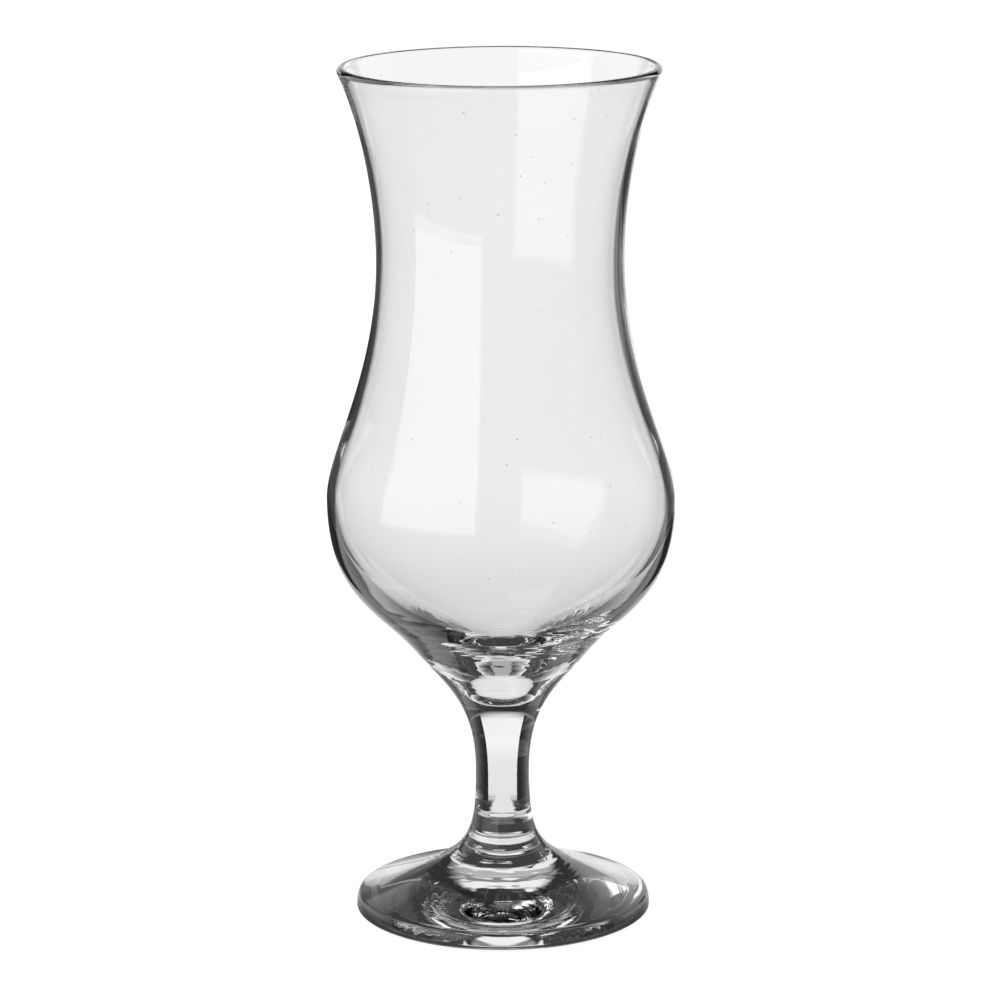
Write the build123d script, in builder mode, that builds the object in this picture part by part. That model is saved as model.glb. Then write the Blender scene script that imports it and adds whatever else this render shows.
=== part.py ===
from build123d import *
import math
import os

# Hurricane glass in clear glass: a blown bowl, a solid stem and a pressed foot, fused together hot.
# Sizes are in millimetres and degrees. +Z is up, and the origin is on the table, under the foot's centre.

# Rises, stacked from the table to the rim
neck_height = 26.5        # table to the seam where the stem is fused to the foot
stem_lower_rise = 8.4     # that seam to the narrowest point of the stem
heel_rise = 29.8          # narrowest point to the flank, where the stem has opened into the bowl
flank_rise = 37.6         # flank to the widest point of the bowl
shoulder_rise = 57.1      # widest point to the waist
throat_rise = 45.6        # waist to the top of the rim

# Outside diameters
foot_diameter = 70.9
stem_diameter = 12.9
flank_diameter = 41.2
bulge_diameter = 83.0
waist_diameter = 58.4
rim_diameter = 75.8

# Leans: the flank, the foot's top and the edge of the hollow below it from level, the rim from upright
flank_slope = 50.8
foot_slope = 18.7
recess_slope = 6.0
rim_lean = 24.0

# Glass of the bowl: the rim is a fire-polished bead, and the wall thickens down to a solid heel
lip_thickness = 2.1
bead_ease = 6.0           # how much steeper the inside leaves the bead than the outside does
waist_wall = 1.9
bulge_wall = 2.2
well_diameter = 18.4      # the hollow narrows to a rounded well above the stem
well_depth = 9.6
well_slope = 45.0
heel_thickness = 5.0      # bottom of the well to the seam with the stem
heel_length = 14.1        # narrowest point of the stem to that seam

# Foot: a round brim, a narrow ring that it stands on, and a shallow hollow inside the ring
belly_height = 1.2        # table to the widest point of the brim
brim_height = 4.5         # table to the upper corner of the brim
brim_inset = 0.9          # widest point to that corner, inwards
ring_inset = 4.7          # widest point to the outer edge of the standing ring
ring_width = 2.0
recess_depth = 1.5

# Pulls: how far each curve holds its first and last direction, as a share of its straight length
brim_under_pulls = (0.53, 0.14)
brim_over_pulls = (0.53, 0.15)
foot_top_pulls = (0.67, 0.47)
heel_pulls = (0.50, 0.31)
flank_pulls = (0.35, 0.54)
shoulder_pulls = (0.18, 0.47)
throat_pulls = (0.31, 0.32)
inner_throat_pulls = (0.28, 0.33)
inner_flank_pulls = (0.50, 0.30)
well_pulls = (0.35, 0.50)
recess_pulls = (0.33, 0.33)

OUT = 0.0
UP = 90.0
IN = 180.0
DOWN = 270.0


def reach(point, angle, length):
    """The point a length away, at an angle from the outward level."""
    turn = math.radians(angle)
    return (point[0] + length * math.cos(turn), point[1] + length * math.sin(turn))


def bend(start, start_angle, end, end_angle, pulls):
    """A smooth curve between two stations, leaving one and arriving at the other at the given angles."""
    span = math.dist(start, end)
    leave = reach(start, start_angle, pulls[0] * span)
    arrive = reach(end, end_angle, -pulls[1] * span)
    return Bezier(start, leave, arrive, end)


# Stations on the outside, as (radius, height)
stem_waist = (stem_diameter / 2, neck_height + stem_lower_rise)
flank = (flank_diameter / 2, stem_waist[1] + heel_rise)
bulge = (bulge_diameter / 2, flank[1] + flank_rise)
waist = (waist_diameter / 2, bulge[1] + shoulder_rise)
rim_height = waist[1] + throat_rise

# The lip bead is a circle that the outer wall runs into at the rim's lean
bead_lean = rim_lean - bead_ease
lip_radius = lip_thickness / 2
lip_centre = (rim_diameter / 2 - lip_radius, rim_height - lip_radius)
lip_outer = reach(lip_centre, -rim_lean, lip_radius)
lip_inner = reach(lip_centre, IN - bead_lean, lip_radius)

# Stations on the inside of the bowl
bowl_seam_height = stem_waist[1] + heel_length
waist_inner = (waist[0] - waist_wall, waist[1])
bulge_inner = (bulge[0] - bulge_wall, bulge[1])
well_bottom = (0, bowl_seam_height + heel_thickness)
well_edge = (well_diameter / 2, well_bottom[1] + well_depth)

# Stations on the foot
brim_belly = (foot_diameter / 2, belly_height)
brim_corner = (foot_diameter / 2 - brim_inset, brim_height)
ring_outer = (foot_diameter / 2 - ring_inset, 0)
ring_inner = (ring_outer[0] - ring_width, 0)
recess_top = (0, recess_depth)

# Bowl: the whole hollow vessel, cut off level where its solid heel meets the stem
with BuildPart() as bowl:
    with BuildSketch(Plane.XZ):
        with BuildLine():
            bend(stem_waist, UP, flank, flank_slope, heel_pulls)
            bend(flank, flank_slope, bulge, UP, flank_pulls)
            bend(bulge, UP, waist, UP, shoulder_pulls)
            bend(waist, UP, lip_outer, UP - rim_lean, throat_pulls)
            CenterArc(lip_centre, lip_radius, -rim_lean, IN - bead_lean + rim_lean)
            bend(lip_inner, DOWN - bead_lean, waist_inner, DOWN, inner_throat_pulls)
            bend(waist_inner, DOWN, bulge_inner, DOWN, shoulder_pulls[::-1])
            bend(bulge_inner, DOWN, well_edge, IN + well_slope, inner_flank_pulls)
            bend(well_edge, IN + well_slope, well_bottom, IN, well_pulls)
            Polyline(well_bottom, (0, stem_waist[1]), stem_waist)
        make_face()
    revolve(axis=Axis.Z)
    split(bisect_by=Plane.XY.offset(bowl_seam_height), keep=Keep.TOP)

# Stem: solid glass between the two seams, narrowest near its lower third
with BuildPart() as stem:
    with BuildSketch(Plane.XZ):
        with BuildLine():
            bend(brim_corner, IN - foot_slope, stem_waist, UP, foot_top_pulls)
            bend(stem_waist, UP, flank, flank_slope, heel_pulls)
            Polyline(flank, (0, flank[1]), (0, brim_corner[1]), brim_corner)
        make_face()
    revolve(axis=Axis.Z)
    split(bisect_by=Plane.XY.offset(neck_height), keep=Keep.TOP)
    split(bisect_by=Plane.XY.offset(bowl_seam_height), keep=Keep.BOTTOM)

# Foot: a pressed disc that sweeps up to its neck, hollowed a little underneath so that it stands on a ring
with BuildPart() as foot:
    with BuildSketch(Plane.XZ):
        with BuildLine():
            bend(ring_outer, OUT, brim_belly, UP, brim_under_pulls)
            bend(brim_belly, UP, brim_corner, IN - foot_slope, brim_over_pulls)
            bend(brim_corner, IN - foot_slope, stem_waist, UP, foot_top_pulls)
            Polyline(stem_waist, (0, stem_waist[1]), recess_top)
            bend(recess_top, OUT, ring_inner, -recess_slope, recess_pulls)
            Line(ring_inner, ring_outer)
        make_face()
    revolve(axis=Axis.Z)
    split(bisect_by=Plane.XY.offset(neck_height), keep=Keep.BOTTOM)

bowl.part.label = "bowl"
stem.part.label = "stem"
foot.part.label = "foot"

os.makedirs("parts", exist_ok=True)
export_step(bowl.part, "parts/bowl.step")
export_step(stem.part, "parts/stem.step")
export_step(foot.part, "parts/foot.step")
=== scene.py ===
import math

import bmesh
import bpy
from mathutils import Matrix, Vector, noise
from mathutils.geometry import interpolate_bezier


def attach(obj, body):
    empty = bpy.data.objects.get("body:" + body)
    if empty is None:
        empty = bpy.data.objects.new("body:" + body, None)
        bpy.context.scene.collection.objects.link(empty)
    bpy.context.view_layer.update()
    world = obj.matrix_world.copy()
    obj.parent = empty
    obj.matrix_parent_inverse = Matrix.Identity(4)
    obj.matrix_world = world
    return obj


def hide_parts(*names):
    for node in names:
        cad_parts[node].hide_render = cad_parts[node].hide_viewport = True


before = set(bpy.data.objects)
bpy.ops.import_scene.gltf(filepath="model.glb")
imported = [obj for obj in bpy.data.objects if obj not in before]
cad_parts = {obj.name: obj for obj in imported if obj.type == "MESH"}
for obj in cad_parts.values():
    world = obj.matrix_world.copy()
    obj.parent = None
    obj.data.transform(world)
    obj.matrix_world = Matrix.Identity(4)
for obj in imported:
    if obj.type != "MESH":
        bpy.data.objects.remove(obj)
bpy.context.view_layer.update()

scene = bpy.context.scene

# Bowl
# The blown vessel of clear soda-lime glass: a flared, fire-polished lip, a waist, a round belly and a solid
# heel. It is turned from one outline and cut off level at the heel, where it is fused hot to the stem.

OUT, UP, IN, DOWN = 0.0, 90.0, 180.0, 270.0
TURN_STEPS = 256           # facets round the glass
SECTORS = 16               # the outline is spun through one sector, which is then doubled to the full turn

# Stations of the outline as (radius, height) in metres, and its slopes in degrees
stem_waist = (0.00645, 0.0349)
flank = (0.0206, 0.0647)
bulge = (0.0415, 0.1023)
waist = (0.0292, 0.1594)
rim_radius = 0.0379
rim_height = 0.2050
lip_radius = 0.00105
waist_wall = 0.0019
bulge_wall = 0.0022
well_edge = (0.0092, 0.0636)
well_bottom = (0.0, 0.0540)
bowl_seam_height = 0.0490
flank_slope = 50.8
well_slope = 45.0
rim_lean = 24.0
bead_lean = 18.0

# Pulls: how far each curve holds its first and last direction, as a share of its straight length
heel_pulls = (0.50, 0.31)
flank_pulls = (0.35, 0.54)
shoulder_pulls = (0.18, 0.47)
throat_pulls = (0.31, 0.32)
inner_throat_pulls = (0.28, 0.33)
inner_flank_pulls = (0.50, 0.30)
well_pulls = (0.35, 0.50)

# How much thicker the blown wall is than the outline's even wall, as (height, at the left, at the right)
UNEVEN_WALL = [
    (0.0850, 0.0, 0.0), (0.0985, -0.0002, 0.0001), (0.1040, -0.0003, 0.0002), (0.1110, -0.0002, 0.0003),
    (0.1185, 0.0, 0.0005), (0.1280, -0.0002, 0.0006), (0.1470, -0.0006, 0.0005), (0.1615, -0.0005, 0.0003),
    (0.1755, -0.0003, 0.0003), (0.1880, -0.00015, 0.00015), (0.2020, 0.0, 0.0),
]

# Low rings and streaks on the outside: the heights where each begins, is full, fades and ends, then depths
NECK_ZONE = (0.0085, 0.0120, 0.0220, 0.0270)
STEM_ZONE = (0.0220, 0.0270, 0.0500, 0.0560)
HEEL_ZONE = (0.0500, 0.0580, 0.0700, 0.0810)
NECK_RINGS = 0.00006
STEM_RINGS = 0.00002
HEEL_STREAKS = 0.00006
RING_PITCH = 0.0013
RING_CHANGE = 0.3          # how quickly a ring changes on its way round
STREAK_PITCH = 0.0016
STREAK_CHANGE = 3.0
STREAK_START = 9.0         # sets the streaks apart from the rings


def reach(point, angle, length):
    """The point a length away, at an angle from the outward level."""
    turn = math.radians(angle)
    return (point[0] + length * math.cos(turn), point[1] + length * math.sin(turn))


def bend(start, start_angle, end, end_angle, pulls, steps):
    """A smooth stretch of outline that leaves one station and arrives at the next at the given angles."""
    span = math.dist(start, end)
    leave = reach(start, start_angle, pulls[0] * span)
    arrive = reach(end, end_angle, -pulls[1] * span)
    knots = [Vector((r, 0.0, z)) for r, z in (start, leave, arrive, end)]
    return interpolate_bezier(*knots, steps + 1)


def lip_bead(centre, radius, first_angle, last_angle, steps):
    """The rounded top of the lip, from the outer wall over to the inner wall."""
    angles = [first_angle + (last_angle - first_angle) * i / steps for i in range(steps + 1)]
    return [Vector((r, 0.0, z)) for r, z in (reach(centre, angle, radius) for angle in angles)]


def turned(outline, insides=()):
    """A bmesh of the outline turned once round the upright axis, with the given points marked as inside."""
    bm = bmesh.new()
    inside = bm.verts.layers.float.new("inside")
    verts = [bm.verts.new(point) for point in outline]
    for number in insides:
        verts[number][inside] = 1.0
    edges = [bm.edges.new(pair) for pair in zip(verts, verts[1:])]
    bmesh.ops.spin(bm, geom=verts + edges, cent=(0, 0, 0), axis=(0, 0, 1), angle=math.tau / SECTORS,
                   steps=TURN_STEPS // SECTORS)
    share = SECTORS
    while share > 1:
        copy = bmesh.ops.duplicate(bm, geom=bm.verts[:] + bm.edges[:] + bm.faces[:])["geom"]
        bmesh.ops.rotate(bm, cent=(0, 0, 0), matrix=Matrix.Rotation(math.tau / share, 3, "Z"),
                         verts=[part for part in copy if isinstance(part, bmesh.types.BMVert)])
        share //= 2
    bmesh.ops.remove_doubles(bm, verts=bm.verts, dist=1e-6)
    bmesh.ops.recalc_face_normals(bm, faces=bm.faces)
    bm.normal_update()
    return bm


def glide(rows, height):
    """The left and right values at a height, along a smooth curve through the rows."""
    if not rows[0][0] < height < rows[-1][0]:
        return 0.0, 0.0
    last = len(rows) - 1
    at = max(number for number, row in enumerate(rows) if row[0] <= height)
    before, start, end, after = rows[max(at - 1, 0)], rows[at], rows[at + 1], rows[min(at + 2, last)]
    t = (height - start[0]) / (end[0] - start[0])
    values = []
    for side in (1, 2):
        p0, p1, p2, p3 = before[side], start[side], end[side], after[side]
        values.append(p1 + 0.5 * t * (p2 - p0 + t * (2 * p0 - 5 * p1 + 4 * p2 - p3
                                                     + t * (3 * (p1 - p2) + p3 - p0))))
    return values


def blow_uneven(bm):
    """Moves the inside of the wall in or out, so that the glass is thicker on one side, as if blown."""
    inside = bm.verts.layers.float["inside"]
    for vert in bm.verts:
        radius = math.hypot(vert.co.x, vert.co.y)
        if vert[inside] and radius > 0:
            left, right = glide(UNEVEN_WALL, vert.co.z)
            change = (left + right) / 2 + (right - left) / 2 * vert.co.x / radius
            vert.co.x *= (radius - change) / radius
            vert.co.y *= (radius - change) / radius


def ramp(value, first, last):
    """0 below first, 1 above last, and smooth between them."""
    t = min(max((value - first) / (last - first), 0.0), 1.0)
    return t * t * (3 - 2 * t)


def within(zone, height):
    """1 in the middle of a zone of heights, fading to 0 at both its ends."""
    begin, full, fading, end = zone
    return ramp(height, begin, full) * (1 - ramp(height, fading, end))


def chill(bm):
    """Gives the outside the low rings and streaks that the mould and the shears leave as the glass sets."""
    inside = bm.verts.layers.float["inside"]
    moves = []
    for vert in bm.verts:
        x, y, z = vert.co
        if vert[inside] or not NECK_ZONE[0] < z < HEEL_ZONE[-1]:
            continue
        radius = math.hypot(x, y)
        along = z - radius if z < stem_waist[1] else z + radius - 2 * stem_waist[0]
        way = Vector((x, y, 0)) / radius
        around = way * RING_CHANGE
        rings = noise.noise(Vector((around.x, around.y, along / RING_PITCH)))
        around = way * STREAK_CHANGE
        streaks = noise.noise(Vector((around.x, around.y + STREAK_START, along / STREAK_PITCH)))
        ring_depth = within(NECK_ZONE, z) * NECK_RINGS + within(STEM_ZONE, z) * STEM_RINGS
        streak_depth = within(HEEL_ZONE, z) * HEEL_STREAKS
        moves.append((vert, vert.normal * (ring_depth * rings + streak_depth * streaks)))
    for vert, move in moves:
        vert.co += move


def cut_level(bm, height, keep_up):
    """Cuts the glass off level and closes it with the flat seam face, which is material slot 1."""
    cut = bmesh.ops.bisect_plane(bm, geom=bm.verts[:] + bm.edges[:] + bm.faces[:], dist=1e-7,
                                 plane_co=(0, 0, height), plane_no=(0, 0, 1),
                                 clear_inner=keep_up, clear_outer=not keep_up)
    ring = [part for part in cut["geom_cut"] if isinstance(part, bmesh.types.BMEdge)]
    for edge in ring:
        edge.smooth = False
    seam = bmesh.ops.edgeloop_fill(bm, edges=ring)["faces"]
    for face in bmesh.ops.poke(bm, faces=seam)["faces"]:
        face.material_index = 1


def glass_piece(name, node, bm):
    """Makes the bmesh a smooth piece of clear glass that stands for its CAD node."""
    bmesh.ops.recalc_face_normals(bm, faces=bm.faces)
    for face in bm.faces:
        face.smooth = True
    mesh = bpy.data.meshes.new(name)
    bm.to_mesh(mesh)
    bm.free()
    mesh.materials.append(clear_glass)
    mesh.materials.append(fused_seam)
    piece = bpy.data.objects.new(name, mesh)
    scene.collection.objects.link(piece)
    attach(piece, "root")
    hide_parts(node)


# Clear glass, almost without colour, with the odd seed or speck in it
clear_glass = bpy.data.materials.new("clear_glass")
clear_glass.use_nodes = True
tree = clear_glass.node_tree
glass = tree.nodes["Principled BSDF"]
place = tree.nodes.new("ShaderNodeTexCoord")
seeds = tree.nodes.new("ShaderNodeTexVoronoi")
seeds.inputs["Scale"].default_value = 170.0
tree.links.new(place.outputs["Object"], seeds.inputs["Vector"])
tint = tree.nodes.new("ShaderNodeValToRGB")
seed, clear = tint.color_ramp.elements
seed.position = 0.022
seed.color = (0.30, 0.30, 0.32, 1.0)
clear.position = 0.045
clear.color = (0.992, 0.9935, 1.0, 1.0)
tree.links.new(seeds.outputs["Distance"], tint.inputs["Fac"])
tree.links.new(tint.outputs["Color"], glass.inputs["Base Color"])
glass.inputs["Roughness"].default_value = 0.0
glass.inputs["IOR"].default_value = 1.52
glass.inputs["Transmission Weight"].default_value = 1.0

# Two pieces melted together leave no surface between them, so light crosses the seam unbent
fused_seam = bpy.data.materials.new("fused_seam")
fused_seam.use_nodes = True
tree = fused_seam.node_tree
tree.nodes.remove(tree.nodes["Principled BSDF"])
seam_clear = tree.nodes.new("ShaderNodeBsdfTransparent")
tree.links.new(seam_clear.outputs["BSDF"], tree.nodes["Material Output"].inputs["Surface"])

lip_centre = (rim_radius - lip_radius, rim_height - lip_radius)
lip_outer = reach(lip_centre, -rim_lean, lip_radius)
lip_inner = reach(lip_centre, IN - bead_lean, lip_radius)
waist_inner = (waist[0] - waist_wall, waist[1])
bulge_inner = (bulge[0] - bulge_wall, bulge[1])

bowl_outside = [
    *bend(stem_waist, UP, flank, flank_slope, heel_pulls, steps=90),
    *bend(flank, flank_slope, bulge, UP, flank_pulls, steps=60),
    *bend(bulge, UP, waist, UP, shoulder_pulls, steps=34),
    *bend(waist, UP, lip_outer, UP - rim_lean, throat_pulls, steps=26),
    *lip_bead(lip_centre, lip_radius, -rim_lean, IN - bead_lean, steps=16),
]
bowl_inside = [
    *bend(lip_inner, DOWN - bead_lean, waist_inner, DOWN, inner_throat_pulls, steps=26),
    *bend(waist_inner, DOWN, bulge_inner, DOWN, shoulder_pulls[::-1], steps=34),
    *bend(bulge_inner, DOWN, well_edge, IN + well_slope, inner_flank_pulls, steps=44),
    *bend(well_edge, IN + well_slope, well_bottom, IN, well_pulls, steps=24),
]
bowl_outline = bowl_outside + bowl_inside[1:]
bowl_bm = turned(bowl_outline, range(len(bowl_outside), len(bowl_outline)))
blow_uneven(bowl_bm)
chill(bowl_bm)
cut_level(bowl_bm, bowl_seam_height, keep_up=True)
glass_piece("bowl_glass", "bowl", bowl_bm)

# Stem
# The short solid stem, drawn out of the same glass and narrowest near its lower third.
# It is fused to the heel above and to the neck of the foot below.

brim_corner = (0.03455, 0.0045)
foot_slope = 18.7
foot_top_pulls = (0.67, 0.47)
foot_seam_height = 0.0265

stem_outline = [
    *bend(brim_corner, IN - foot_slope, stem_waist, UP, foot_top_pulls, steps=160),
    *bend(stem_waist, UP, flank, flank_slope, heel_pulls, steps=90),
]
stem_bm = turned(stem_outline)
chill(stem_bm)
cut_level(stem_bm, foot_seam_height, keep_up=True)
cut_level(stem_bm, bowl_seam_height, keep_up=False)
glass_piece("stem_glass", "stem", stem_bm)

# Foot
# The pressed round foot of the same glass: a rounded brim, a top that sweeps up to the neck, a narrow ring
# that it stands on, and a shallow hollow underneath. It is fused to the stem at the neck.

brim_belly = (0.03545, 0.0012)
ring_outer = (0.03075, 0.0)
ring_inner = (0.02875, 0.0)
recess_top = (0.0, 0.0015)
recess_slope = 6.0
brim_under_pulls = (0.53, 0.14)
brim_over_pulls = (0.53, 0.15)
recess_pulls = (0.33, 0.33)
ease_pulls = (0.4, 0.4)

RING_EASE = 0.0004         # the inner edge of the ring is melted round over this length
SOLE_WAVES = 0.00002       # depth of the faint waves in the hollow
SOLE_PITCH = 0.0022
SOLE_TOP = 0.0030          # what is lower than this, inside the ring, is the hollow's face
SOLE_CALM = (0.012, 0.024)  # the waves die out between these radii
MOULD_RIDGE = 0.00012      # the line that the two halves of the mould leave across the foot, front and back
RIDGE_START = 0.020        # how far out from the axis that line begins
RIDGE_HALF = 0.0002

ease_start = reach(ring_inner, IN - recess_slope, RING_EASE)
ease_end = reach(ring_inner, OUT, RING_EASE)
foot_outline = [
    *bend(recess_top, OUT, ease_start, -recess_slope, recess_pulls, steps=72),
    *bend(ease_start, -recess_slope, ease_end, OUT, ease_pulls, steps=4),
    *bend(ease_end, OUT, ring_outer, OUT, recess_pulls, steps=3),
    *bend(ring_outer, OUT, brim_belly, UP, brim_under_pulls, steps=20),
    *bend(brim_belly, UP, brim_corner, IN - foot_slope, brim_over_pulls, steps=20),
    *bend(brim_corner, IN - foot_slope, stem_waist, UP, foot_top_pulls, steps=160),
]
foot_bm = turned(foot_outline)
chill(foot_bm)
for vert in foot_bm.verts:
    radius = math.hypot(vert.co.x, vert.co.y)
    if vert.co.z < SOLE_TOP and radius < ring_inner[0]:
        calm = 1 - ramp(radius, *SOLE_CALM)
        vert.co.z += SOLE_WAVES * calm * noise.noise(Vector((vert.co.x, vert.co.y, 0.0)) / SOLE_PITCH)
foot_bm.normal_update()
for vert in foot_bm.verts:
    on_line = abs(vert.co.x) < RIDGE_HALF and abs(vert.co.y) > RIDGE_START
    if on_line and vert.normal.z > -0.5:
        vert.co += MOULD_RIDGE * vert.normal
cut_level(foot_bm, foot_seam_height, keep_up=False)
glass_piece("foot_glass", "foot", foot_bm)

# Floor
# A plain white table that runs back without an edge. To the camera it is white with a faint shadow of the
# glass. Through the glass it has painted shade round the foot, more so towards the front, as if lit from
# behind.

FLOOR_RADIUS = 4.0
SHADOW_SHARE = 0.12        # the part of the table's white that is paper and takes the shadow
LAMP_WHITE = 0.3           # how bright that paper is under the lamp overhead
SHADE = 0.04               # the darkest painted shade on the table
STRIP_HALF = 0.090         # half the width of the white strip of table where it passes the glass
STRIP_BLUR = 0.004
STRIP_SPREAD = 5.0         # degrees by which each edge of the strip runs outwards


def bare_tree(data):
    """The node tree of a new material or world, without its standard surface."""
    data.use_nodes = True
    nodes = data.node_tree.nodes
    if "Principled BSDF" in nodes:
        nodes.remove(nodes["Principled BSDF"])
    return data.node_tree


def math_node(tree, operation, first, second=None):
    """A math node on one or two inputs, each a socket or a number."""
    node = tree.nodes.new("ShaderNodeMath")
    node.operation = operation
    for socket, value in zip(node.inputs, (first, second)):
        if isinstance(value, bpy.types.NodeSocket):
            tree.links.new(value, socket)
        elif value is not None:
            socket.default_value = value
    return node.outputs["Value"]


def times(tree, first, *others):
    """The product of the values."""
    for other in others:
        first = math_node(tree, "MULTIPLY", first, other)
    return first


def largest(tree, first, *others):
    """The largest of the values."""
    for other in others:
        first = math_node(tree, "MAXIMUM", first, other)
    return first


def blend(tree, share, first, second):
    """The first value where the share is 0, and the second where it is 1."""
    rest = math_node(tree, "SUBTRACT", 1.0, share)
    return math_node(tree, "ADD", times(tree, rest, first), times(tree, share, second))


def fade(tree, value, first, last, low, high):
    """A smooth change from low to high as the value goes from first to last."""
    node = tree.nodes.new("ShaderNodeMapRange")
    node.interpolation_type = "SMOOTHSTEP"
    tree.links.new(value, node.inputs["Value"])
    for name, number in zip(("From Min", "From Max", "To Min", "To Max"), (first, last, low, high)):
        node.inputs[name].default_value = number
    return node.outputs["Result"]


def turn_fade(tree, angle, first, last, low, high):
    """A smooth change from low to high as the angle goes from first to last, in degrees."""
    return fade(tree, angle, math.radians(first), math.radians(last), low, high)


def mirrored_in_glass(tree, path):
    """1 for light that was mirrored on its way, and 0 for light that came straight through."""
    return math_node(tree, "GREATER_THAN", path.outputs["Glossy Depth"], 0.5)


def skim_light(tree, bearing, path):
    """The pale sides of the room, which show only where light glances off the outside of the glass; on the
    table they are painted light.
    """
    aside = math_node(tree, "ABSOLUTE", bearing)
    sides = times(tree, turn_fade(tree, aside, 39, 47, 0.0, 1.0), turn_fade(tree, aside, 55, 110, 1.0, 0.0))
    right = times(tree, turn_fade(tree, bearing, 0, 2, 0.0, 1.0), turn_fade(tree, bearing, 20, 25, 1.0, 0.0))
    entered = math_node(tree, "GREATER_THAN", path.outputs["Transmission Depth"], 0.5)
    glanced = math_node(tree, "GREATER_THAN", mirrored_in_glass(tree, path), entered)
    return times(tree, largest(tree, sides, right), glanced)


def stage_object(name, bm, material):
    """An object of the stage, which isn't part of the glass."""
    mesh = bpy.data.meshes.new(name)
    bm.to_mesh(mesh)
    bm.free()
    mesh.materials.append(material)
    made = bpy.data.objects.new(name, mesh)
    scene.collection.objects.link(made)
    return made


white_table = bpy.data.materials.new("white_table")
tree = bare_tree(white_table)
place = tree.nodes.new("ShaderNodeTexCoord")
axes = tree.nodes.new("ShaderNodeSeparateXYZ")
tree.links.new(place.outputs["Object"], axes.inputs["Vector"])
distance = tree.nodes.new("ShaderNodeVectorMath")
distance.operation = "LENGTH"
tree.links.new(place.outputs["Object"], distance.inputs[0])
across = axes.outputs["X"]
back = axes.outputs["Y"]
away = distance.outputs["Value"]
aside = math_node(tree, "ABSOLUTE", across)
bearing = math_node(tree, "ARCTAN2", across, back)
path = tree.nodes.new("ShaderNodeLightPath")

# Straight through the glass: painted shade round the foot, with a white gap behind it
round_foot = fade(tree, away, 0.054, 0.085, SHADE, 1.0)
gap = times(tree, fade(tree, aside, 0.012, 0.018, 1.0, 0.0), fade(tree, back, 0.034, 0.038, 0.0, 1.0))
# Under the foot, painted light that is brighter towards the back, with a painted shadow of the stem down its
# middle
sole = times(tree, fade(tree, away, 0.0355, 0.0375, 1.0, 0.0), fade(tree, back, -0.012, 0.012, SHADE, 0.85),
             fade(tree, aside, 0.005, 0.011, 0.08, 1.0))
straight_light = largest(tree, round_foot, gap, sole)

# Mirrored inside the glass: a white strip that runs back past it with painted shade round it, and further
# off two painted dark flags
spread = times(tree, back, math.tan(math.radians(STRIP_SPREAD)))
outside = math_node(tree, "SUBTRACT", aside, spread)
strip = times(tree, fade(tree, outside, STRIP_HALF - STRIP_BLUR, STRIP_HALF + STRIP_BLUR, 1.0, SHADE),
              fade(tree, back, -0.03, 0.03, SHADE, 1.0))
painted_flags = math_node(tree, "MINIMUM", turn_fade(tree, bearing, -9, -6, SHADE, 1.0),
                    turn_fade(tree, bearing, 14, 17, 1.0, SHADE))
strip = blend(tree, fade(tree, away, 0.25, 0.32, 0.0, 1.0), strip, painted_flags)
strip = times(tree, strip, fade(tree, away, 0.03, 0.17, 0.0, 1.0))
mirrored_light = largest(tree, strip, times(tree, gap, 0.55), 0.06)

seen = blend(tree, mirrored_in_glass(tree, path), straight_light, mirrored_light)
# Painted light: the pale sides of the room, on the table, for light that glanced off the glass
seen = largest(tree, seen, skim_light(tree, bearing, path))
# Painted shade: the table as the glass shows it is a little darker near the glass
painted_light = times(tree, seen, fade(tree, away, 0.03, 0.45, 0.84, 1.0))
camera_white = times(tree, path.outputs["Is Camera Ray"], 1 - LAMP_WHITE * SHADOW_SHARE)
table_glow = tree.nodes.new("ShaderNodeEmission")
tree.links.new(largest(tree, camera_white, painted_light), table_glow.inputs["Strength"])
table_paper = tree.nodes.new("ShaderNodeBsdfDiffuse")
tree.links.new(times(tree, path.outputs["Is Camera Ray"], SHADOW_SHARE), table_paper.inputs["Color"])
table_face = tree.nodes.new("ShaderNodeAddShader")
tree.links.new(table_glow.outputs["Emission"], table_face.inputs[0])
tree.links.new(table_paper.outputs["BSDF"], table_face.inputs[1])
tree.links.new(table_face.outputs["Shader"], tree.nodes["Material Output"].inputs["Surface"])

floor_bm = bmesh.new()
bmesh.ops.create_circle(floor_bm, cap_ends=True, radius=FLOOR_RADIUS, segments=96)
stage_object("floor", floor_bm, white_table)

# Cards
# Bent black cards stand round the stem, and one hangs behind the bowl, out of the camera's sight. They draw
# the stem's sides and the rim dark. Only light that goes straight through one thickness of glass meets them.

CARD_LEVEL = 0.02
CARD_BEARINGS = [(20, 69), (111, 160), (207, 245), (250, 288), (342, 380)]
CARD_REACH = 0.057
CARD_BOTTOM, CARD_TOP = 0.002, 0.070
RIM_CARD_BEARINGS = (75, 105)
RIM_CARD_REACH = 0.100
RIM_CARD_BOTTOM, RIM_CARD_TOP = 0.105, 0.152


def upright_card(name, finish, bearings, reach_out, bottom, top):
    """A bent upright card round the axis, between two bearings in degrees, which the camera doesn't see."""
    first, last = bearings
    bm = bmesh.new()
    start = Matrix.Rotation(math.radians(first), 3, "Z")
    verts = [bm.verts.new(start @ Vector((reach_out, 0, z))) for z in (bottom, top)]
    edge = bm.edges.new(verts)
    bmesh.ops.spin(bm, geom=verts + [edge], cent=(0, 0, 0), axis=(0, 0, 1),
                   angle=math.radians(last - first), steps=24)
    card = stage_object(name, bm, finish)
    card.visible_camera = False
    card.visible_shadow = False
    card.visible_diffuse = False


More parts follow.
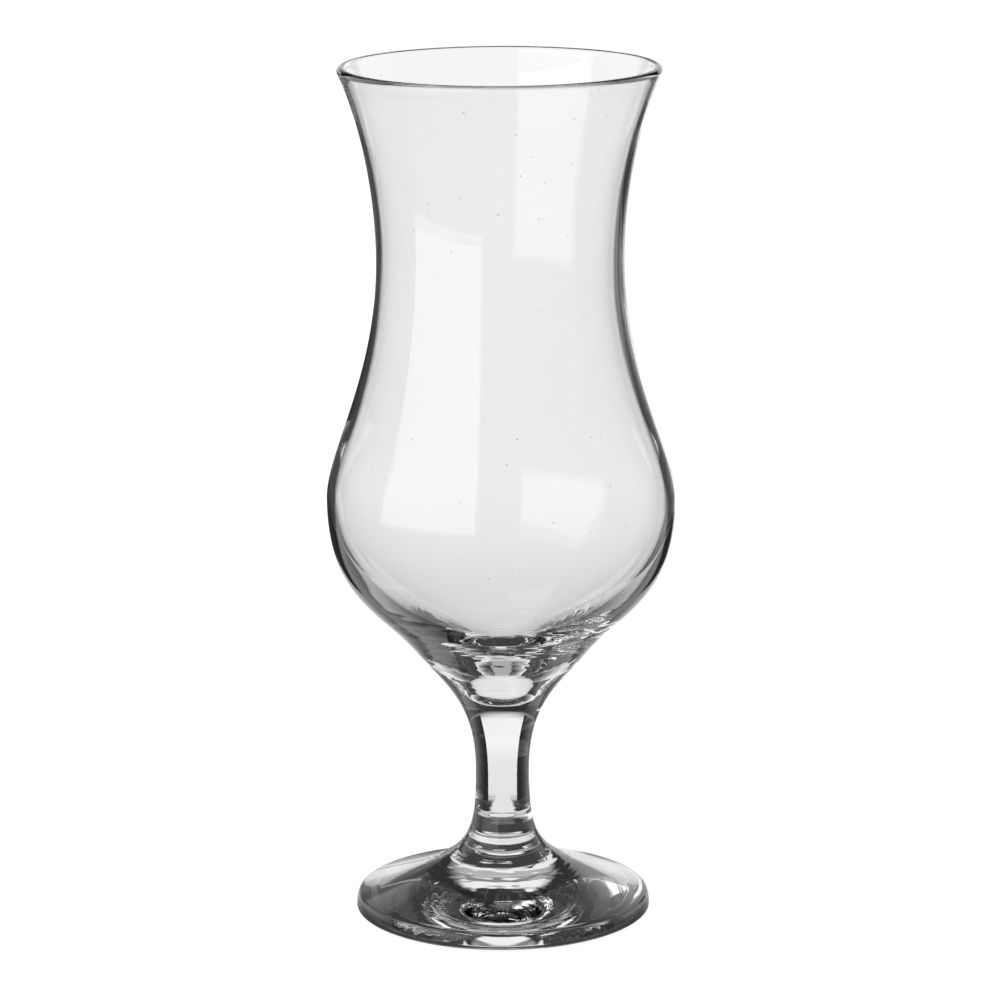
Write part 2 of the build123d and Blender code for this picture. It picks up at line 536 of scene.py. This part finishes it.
black_card = bpy.data.materials.new("black_card")
tree = bare_tree(black_card)
path = tree.nodes.new("ShaderNodeLightPath")
two_walls = math_node(tree, "GREATER_THAN", path.outputs["Transmission Depth"], 2.5)
card_face = tree.nodes.new("ShaderNodeEmission")
card_face.inputs["Color"].default_value = (CARD_LEVEL, CARD_LEVEL, CARD_LEVEL, 1.0)
card_clear = tree.nodes.new("ShaderNodeBsdfTransparent")
card_mix = tree.nodes.new("ShaderNodeMixShader")
tree.links.new(largest(tree, two_walls, mirrored_in_glass(tree, path)), card_mix.inputs["Fac"])
tree.links.new(card_face.outputs["Emission"], card_mix.inputs[1])
tree.links.new(card_clear.outputs["BSDF"], card_mix.inputs[2])
tree.links.new(card_mix.outputs["Shader"], tree.nodes["Material Output"].inputs["Surface"])

for number, bearings in enumerate(CARD_BEARINGS):
    upright_card(f"card_{number}", black_card, bearings, CARD_REACH, CARD_BOTTOM, CARD_TOP)
upright_card("rim_card", black_card, RIM_CARD_BEARINGS, RIM_CARD_REACH, RIM_CARD_BOTTOM, RIM_CARD_TOP)

# Light
# One large softbox stands at the front left, and its reflection shows on the bowl. A lamp overhead gives the
# shadow. The room is white behind the glass, up to a little above it, and dark towards the ceiling.

SOFTBOX_LEVEL = 1.15
SOFTBOX_BEARINGS = (187, 254)
SOFTBOX_REACH = 0.50
SOFTBOX_BOTTOM, SOFTBOX_TOP = 0.002, 0.58
LAMP_PLACE = (-0.25, -0.1, 1.5)
LAMP_SIZE = 1.2
LAMP_WATTS = 34.0

softbox_face = bpy.data.materials.new("softbox_face")
tree = bare_tree(softbox_face)
softbox_glow = tree.nodes.new("ShaderNodeEmission")
softbox_glow.inputs["Strength"].default_value = SOFTBOX_LEVEL
tree.links.new(softbox_glow.outputs["Emission"], tree.nodes["Material Output"].inputs["Surface"])
upright_card("softbox", softbox_face, SOFTBOX_BEARINGS, SOFTBOX_REACH, SOFTBOX_BOTTOM, SOFTBOX_TOP)

overhead_light = bpy.data.lights.new("overhead", "AREA")
overhead_light.size = LAMP_SIZE
overhead_light.energy = LAMP_WATTS
overhead = bpy.data.objects.new("overhead", overhead_light)
overhead.location = LAMP_PLACE
overhead.rotation_euler = (-overhead.location).to_track_quat("-Z", "Y").to_euler()
overhead.visible_glossy = False
overhead.visible_transmission = False
scene.collection.objects.link(overhead)

room = bpy.data.worlds.new("room")
scene.world = room
tree = bare_tree(room)
room_light = tree.nodes["Background"]
room_light.inputs["Color"].default_value = (1.0, 1.0, 1.0, 1.0)
way = tree.nodes.new("ShaderNodeTexCoord")
axes = tree.nodes.new("ShaderNodeSeparateXYZ")
tree.links.new(way.outputs["Generated"], axes.inputs["Vector"])
height = math_node(tree, "ARCSINE", axes.outputs["Z"])
bearing = math_node(tree, "ARCTAN2", axes.outputs["X"], axes.outputs["Y"])
aside = math_node(tree, "ABSOLUTE", bearing)
path = tree.nodes.new("ShaderNodeLightPath")

# Straight through the glass: a white wall that darkens with height
straight_wall = turn_fade(tree, height, 13, 27, 0.97, 0.03)

# Mirrored inside the glass: a low white wall behind it, a window above that, and dim sides
low_wall = times(tree, turn_fade(tree, height, 7, 12, 1.0, 0.03), turn_fade(tree, aside, 27, 31, 1.0, 0.03))
panes = largest(tree, turn_fade(tree, height, 15, 19, 0.5, 0.25), turn_fade(tree, height, 21, 25, 0.0, 0.95))
window = times(tree, panes, turn_fade(tree, height, 33, 38, 1.0, 0.0),
               turn_fade(tree, aside, 16, 24, 1.0, 0.0))
dim_sides = times(tree, turn_fade(tree, aside, 28, 40, 0.03, 0.08),
                  turn_fade(tree, height, 20, 28, 1.0, 0.3))
mirrored_wall = largest(tree, low_wall, window, dim_sides)

seen = blend(tree, mirrored_in_glass(tree, path), straight_wall, mirrored_wall)
skimmed = times(tree, skim_light(tree, bearing, path), turn_fade(tree, height, 25, 50, 1.0, 0.0))
tree.links.new(largest(tree, path.outputs["Is Camera Ray"], seen, skimmed), room_light.inputs["Strength"])

# Camera
# It looks down on the glass by 13 degrees from a metre away, through a long lens, rolled by a hair.

CAMERA_PLACE = (0.0, -0.99287, 0.33206)
CAMERA_TURN = 0.0187
CAMERA_DIP = 13.088
CAMERA_ROLL = -0.25

camera_data = bpy.data.cameras.new("camera")
camera_data.lens = 154.25
camera_data.sensor_width = 36.0
camera_data.clip_end = 20.0
camera = bpy.data.objects.new("camera", camera_data)
camera.location = CAMERA_PLACE
aim = Matrix.Rotation(math.radians(CAMERA_TURN), 3, "Z")
dip = Matrix.Rotation(math.radians(90 - CAMERA_DIP), 3, "X")
roll = Matrix.Rotation(math.radians(CAMERA_ROLL), 3, "Z")
camera.rotation_euler = (aim @ dip @ roll).to_euler()
scene.collection.objects.link(camera)
scene.camera = camera

scene.view_settings.view_transform = "Standard"
scene.cycles.max_bounces = 24
scene.cycles.transmission_bounces = 24
scene.cycles.glossy_bounces = 12
scene.cycles.transparent_max_bounces = 16
scene.cycles.caustics_refractive = False
scene.cycles.caustics_reflective = False
